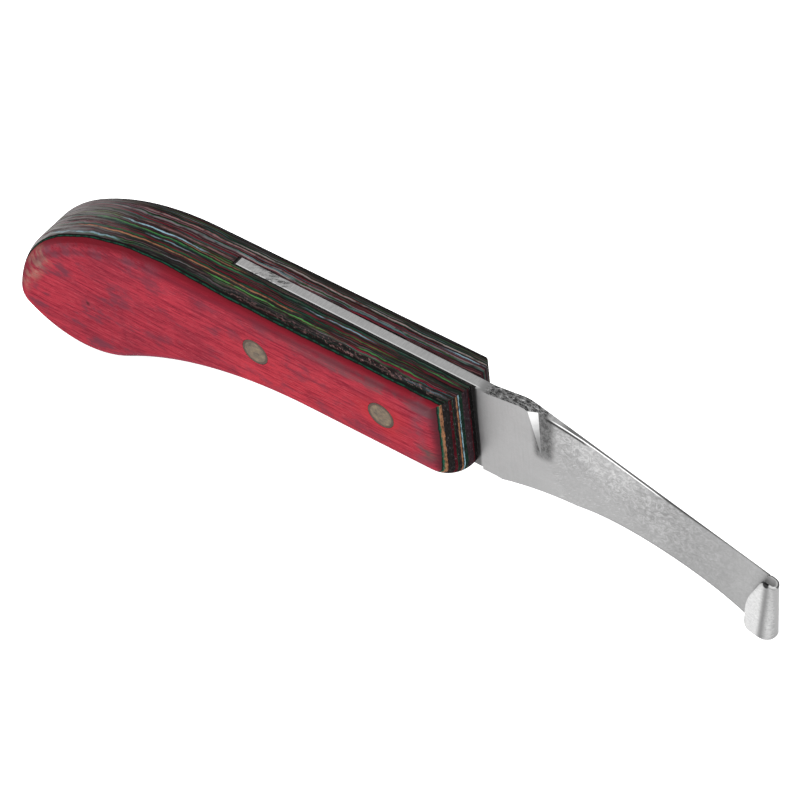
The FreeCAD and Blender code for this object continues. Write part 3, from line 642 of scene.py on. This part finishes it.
def tang_top(g, shade, on_top, across):
    """Ground across and lightened by painted light, with a painted highlight along its near edge and
    dark chips near its end.
    """
    x, y = g.x, g.y
    # Painted light: the top face is lifted
    shade = shade + on_top * ((across - 0.5) * 0.30 + 0.15)
    near_edge = -0.0105 * x - 1.0
    # Painted highlight along the near edge
    shade = g.blend(on_top * g.bump_at(y, near_edge + 0.10, 0.30) * 0.7, shade, TANG_EDGE_HIGHLIGHT)
    chip = g.noise(x * 0.55 - y * 0.8, y * 0.7, 1.0, 5.0, 0.8)
    chips = g.step(chip, 0.50, 0.57) * g.band(x, -63.0, -52.5, 2.5)
    return g.blend(on_top * chips * 0.8, shade, TANG_CHIP)


def scorched_back(g, shade):
    """The back in front of the handle, scorched and pitted."""
    x, y = g.x, g.y
    spine = g.step(g.nz, 0.70, 0.90) * g.band(x, 3.0, 18.5, 2.0)
    pits = g.noise(x * 0.8, y * 1.6, 2.0, 5.0, 0.8)
    shade = g.blend(spine * g.step(x, 1.5, 4.5) * 0.75, shade, SCORCHED)
    shade = g.blend(spine * g.step(pits, 0.47, 0.55) * 0.90, shade, BACK_PIT)
    return g.blend(spine * g.step(pits, 0.43, 0.37) * 0.80, shade, BACK_GLINT)


def steel_material():
    """Satin steel: flat by the handle, ground thin beyond a step, and brightest on the hook, where a
    highlight is painted.
    """
    g = Graph("satin_steel")
    x, y, z = g.x, g.y, g.z
    cloud = g.noise(x * 0.11, y * 0.2, z * 0.16, 4.0, 0.6)
    fine = g.noise(x * 1.6, y * 2.0, z * 1.6, 4.0, 0.75)
    brush = g.noise(x * 2.2, y * 1.0, z * 0.12, 3.0, 0.6)
    swirl = g.noise(x * 0.50 + z * 0.12, y * 1.0, z * 0.55 - x * 0.15, 5.0, 0.72, 2.2)
    across = g.noise(x * 3.2, y * 0.35, z * 0.4, 3.0, 0.7)
    flat = g.band(x, 1.3, 14.5, 0.8)
    ground = g.step(x, 17.0, 22.0) * g.step(g.ny, -0.6, -0.9)
    on_top = g.step(g.nz, 0.80, 0.92) * g.step(x, 2.0, 0.0)
    shade = SATIN + (cloud - 0.5) * 0.08 + (fine - 0.5) * 0.06
    shade = flat_part(g, shade, flat, brush)
    shade = ground_face(g, shade, ground, swirl)
    shade = grinding_step(g, shade)
    shade = upper_edge(g, shade)
    shade, inside = hook(g, shade)
    shade = tang_top(g, shade, on_top, across)
    shade = scorched_back(g, shade)
    height = fine * 0.4 + brush * flat * 0.2 + swirl * ground * 0.12 + across * on_top * 0.4
    # The inside of the hook's bore is not metallic, as part of its painted light
    return g.finish(g.grey(shade), 0.36 + cloud * 0.12, height, METAL_RELIEF, Metallic=1.0 - inside)


def rivet_material():
    """Brass gone brown, with dirt in the seam round each head."""
    g = Graph("tarnished_brass")
    x, y, z = g.x, g.y, g.z
    cloud = g.noise(x * 0.5, y * 0.5, z * 0.7, 4.0, 0.65)
    fine = g.noise(x * 2.2, y * 2.0, z * 4.0, 3.0, 0.7)
    colour = g.ramp(cloud, BRASS_SHADES)
    colour = g.mix(g.step(fine, 0.50, 0.70) * 0.45, colour, BRASS_TARNISH)
    for rivet_x in RIVET_X:
        dx, dz = x - rivet_x, z - RIVET_Z
        away = g.math("SQRT", dx * dx + dz * dz)
        colour = g.mix(g.band(away, 2.9, 3.6, 0.35) * 0.85, colour, SEAM_DIRT)
    return g.finish(colour, 0.38 + fine * 0.2, fine, METAL_RELIEF, Metallic=0.85)


def bedding_material():
    """Black filler, lumpy and dull."""
    g = Graph("black_bedding")
    x, y, z = g.x, g.y, g.z
    lumps = g.noise(x * 1.1, y * 1.4, z * 1.1, 4.0, 0.7)
    colour = g.ramp(lumps, BEDDING_SHADES)
    return g.finish(colour, 0.55 + lumps * 0.25, lumps, BEDDING_RELIEF, Specular_IOR_Level=0.3)


def floor_material():
    """White paper that glows a little, so that hardly a shadow falls on it."""
    g = Graph("pale_floor")
    cloud = g.noise(g.x * 0.01, g.y * 0.01, 0.0, 3.0, 0.5)
    colour = g.ramp(cloud, FLOOR_SHADES)
    glow = {"Emission_Color": WHITE, "Emission_Strength": FLOOR_GLOW}
    return g.finish(colour, 0.9, cloud, FLOOR_RELIEF, Specular_IOR_Level=0.1, **glow)


# ---------------------------------------------------------------- scene
WHITE = (1.0, 1.0, 1.0, 1.0)
FLOOR_GLOW = 0.85
FLOOR_REACH = 3.0                                    # m, from the middle to each side
WORLD_LIGHT = 0.80
KEY_PLACE, KEY_TARGET = (-0.55, -0.35, 0.75), (0, 0, 0.03)
KEY_SIZE, KEY_POWER = 0.7, 5.0                       # m and W
LENS, SENSOR, NEAREST = 182.0, 36, 0.01              # mm, mm and m
CAMERA_PLACE = (0.45691, -0.45107, 0.64942)
CAMERA_RIGHT, CAMERA_UP = (0.78828, 0.60008, -0.13607), (-0.35223, 0.6214, 0.69986)


def dress():
    """Give every node of the frame the material of its kind."""
    wood, steel = handle_material(), steel_material()
    rivet, bedding = rivet_material(), bedding_material()
    for name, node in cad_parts.items():
        if name == "blade":
            chosen = steel
        elif name == "tang_bedding":
            chosen = bedding
        elif "rivet" in name:
            chosen = rivet
        else:
            chosen = wood
        for slot in node.material_slots:
            slot.material = chosen


def floor():
    """A square of pale floor under the part."""
    mesh = bpy.data.meshes.new("floor")
    corners = [
        (side_x * FLOOR_REACH, side_y * FLOOR_REACH, 0)
        for side_x, side_y in ((-1, -1), (1, -1), (1, 1), (-1, 1))
    ]
    mesh.from_pydata(corners, [], [(0, 1, 2, 3)])
    made = bpy.data.objects.new("floor", mesh)
    bpy.context.collection.objects.link(made)
    mesh.materials.append(floor_material())


def light():
    """Even white light all round, with one large soft lamp from the front left."""
    scene = bpy.context.scene
    scene.world = bpy.data.worlds.new("studio")
    scene.world.use_nodes = True
    background = scene.world.node_tree.nodes["Background"]
    background.inputs["Color"].default_value = WHITE
    background.inputs["Strength"].default_value = WORLD_LIGHT
    scene.view_settings.view_transform = "Standard"

    data = bpy.data.lights.new("key", "AREA")
    data.shape = "DISK"
    data.size = KEY_SIZE
    data.energy = KEY_POWER
    made = bpy.data.objects.new("key", data)
    made.location = KEY_PLACE
    aim = Vector(KEY_TARGET) - Vector(KEY_PLACE)
    made.rotation_euler = aim.to_track_quat("-Z", "Y").to_euler()
    bpy.context.collection.objects.link(made)


def camera():
    """A long lens from the front right and above, rolled a little."""
    data = bpy.data.cameras.new("camera")
    data.sensor_width = SENSOR
    data.lens = LENS
    data.clip_start = NEAREST
    made = bpy.data.objects.new("camera", data)
    made.location = CAMERA_PLACE
    right, up = Vector(CAMERA_RIGHT), Vector(CAMERA_UP)
    made.rotation_euler = Matrix((right, up, right.cross(up))).transposed().to_euler()
    bpy.context.collection.objects.link(made)
    bpy.context.scene.camera = made


dress()
floor()
light()
camera()
